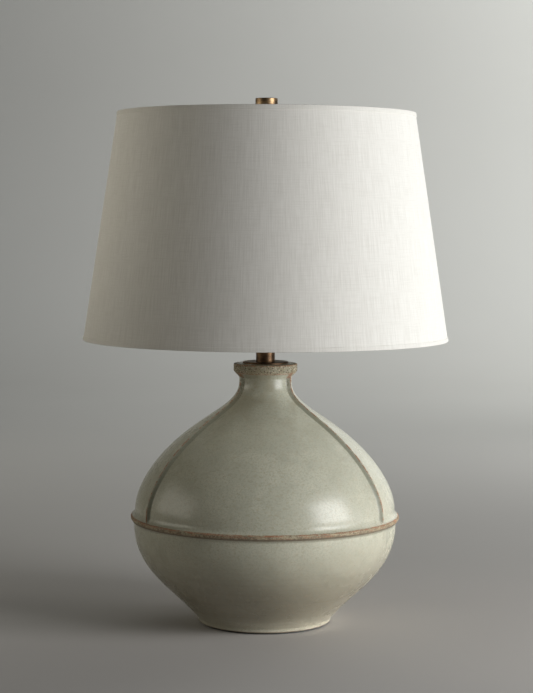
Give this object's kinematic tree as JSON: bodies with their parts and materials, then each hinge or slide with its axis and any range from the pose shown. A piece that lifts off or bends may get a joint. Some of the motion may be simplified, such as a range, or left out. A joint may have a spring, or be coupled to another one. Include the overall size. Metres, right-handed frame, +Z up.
{
  "type": "table lamp",
  "caption": "Round-bellied glazed ginger jar table lamp with raised ribs and a belly ring, under a tapered linen shade carried by a harp and finial.",
  "frame": {"origin": "centre of the felt pad's underside, on the table under the jar's axis", "axes": "+Z up along the lamp's axis, -Y is the front with the switch knob, the cord outlet is at the back at +Y, the harp stands in the XZ plane"},
  "size_m": [0.4063, 0.4064, 0.5847],
  "materials": {
    "glaze": "sage glaze over stoneware, breaking to rust on the edges, glossy",
    "felt": "dark brown felt",
    "black_rubber": "matt black rubber",
    "zinc_steel": "zinc plated",
    "brass_nut": "plain brass",
    "brown_plastic": "matt brown",
    "bronze": "antique bronze, satin",
    "bronze_harp": "antique bronze plated steel",
    "bronze_wire": "bronze painted steel wire",
    "socket_brass": "antique brass, satin",
    "fibre_card": "insulating card",
    "phenolic": "dark brown phenolic",
    "screw_metal": "nickel plated",
    "black_glass": "black insulating glass",
    "frosted_glass": "frosted white",
    "linen": "off-white slubbed linen",
    "linen_hem": "the same linen, folded over the rims",
    "shade_styrene": "white translucent styrene"
  },
  "bodies": {
    "root": {"felt_pad": "felt", "jar_body": "glaze", "base_gasket": "black_rubber", "base_washer": "zinc_steel", "lock_washer": "zinc_steel", "lamp_pipe": "zinc_steel", "pipe_nuts": "brass_nut", "cord_bushing": "brown_plastic", "mouth_plug": "black_rubber", "vase_cap": "bronze", "neck_tube": "bronze", "check_ring": "bronze", "harp_saddle": "bronze_harp", "socket_cap": "socket_brass", "cap_set_screw": "zinc_steel", "socket_shell": "socket_brass", "socket_liner": "fibre_card", "socket_core": "phenolic", "terminal_screws": "brass_nut", "screw_shell": "screw_metal", "centre_contact": "brass_nut"},
    "switch": {"switch_spindle": "zinc_steel", "switch_knob": "phenolic"},
    "bulb_base": {"bulb_cap": "screw_metal", "bulb_insulator": "black_glass", "bulb_eyelet": "screw_metal"},
    "bulb": {"bulb_globe": "frosted_glass"},
    "harp": {"harp_bow": "bronze_harp", "harp_stud": "bronze_harp"},
    "sleeve_left": {"harp_sleeve_left": "bronze_harp"},
    "sleeve_right": {"harp_sleeve_right": "bronze_harp"},
    "shade": {"shade_linen": "linen", "shade_liner": "shade_styrene", "top_hem": "linen_hem", "bottom_hem": "linen_hem", "spider_fitter": "bronze_wire", "bottom_ring": "bronze_wire"},
    "finial_thread": {"finial_bush": "bronze"},
    "finial": {"finial_knob": "bronze"}
  },
  "joints": [
    {"name": "switch_turn", "type": "hinge", "parent": "root", "child": "switch", "pos_m": [0, -0.02, 0.369], "axis": [0, -1, 0], "continuous": true},
    {"name": "bulb_rise", "type": "slide", "parent": "root", "child": "bulb_base", "axis": [0, 0, 1], "range_m": [0, 0.0182]},
    {"name": "bulb_turn", "type": "hinge", "parent": "bulb_base", "child": "bulb", "pos_m": [0, 0, 0.4363], "axis": [0, 0, 1], "range_deg": [0, 1800]},
    {"name": "harp_lift", "type": "slide", "parent": "root", "child": "harp", "axis": [0, 0, 1], "range_m": [0, 0.22]},
    {"name": "sleeve_left_lift", "type": "slide", "parent": "harp", "child": "sleeve_left", "axis": [0, 0, 1], "range_m": [0, 0.015]},
    {"name": "sleeve_right_lift", "type": "slide", "parent": "harp", "child": "sleeve_right", "axis": [0, 0, 1], "range_m": [0, 0.015]},
    {"name": "shade_swivel", "type": "hinge", "parent": "harp", "child": "shade", "pos_m": [0, 0, 0.5544], "axis": [0, 0, 1], "continuous": true},
    {"name": "finial_rise", "type": "slide", "parent": "harp", "child": "finial_thread", "axis": [0, 0, 1], "range_m": [0, 0.0081]},
    {"name": "finial_turn", "type": "hinge", "parent": "finial_thread", "child": "finial", "pos_m": [0, 0, 0.5544], "axis": [0, 0, 1], "range_deg": [0, 3060]}
  ],
  "couplings": [
    {"joint": "bulb_rise", "follows": "bulb_turn", "m_per_rad": 0.0005775},
    {"joint": "finial_rise", "follows": "finial_turn", "m_per_rad": 0.00014972}
  ]
}
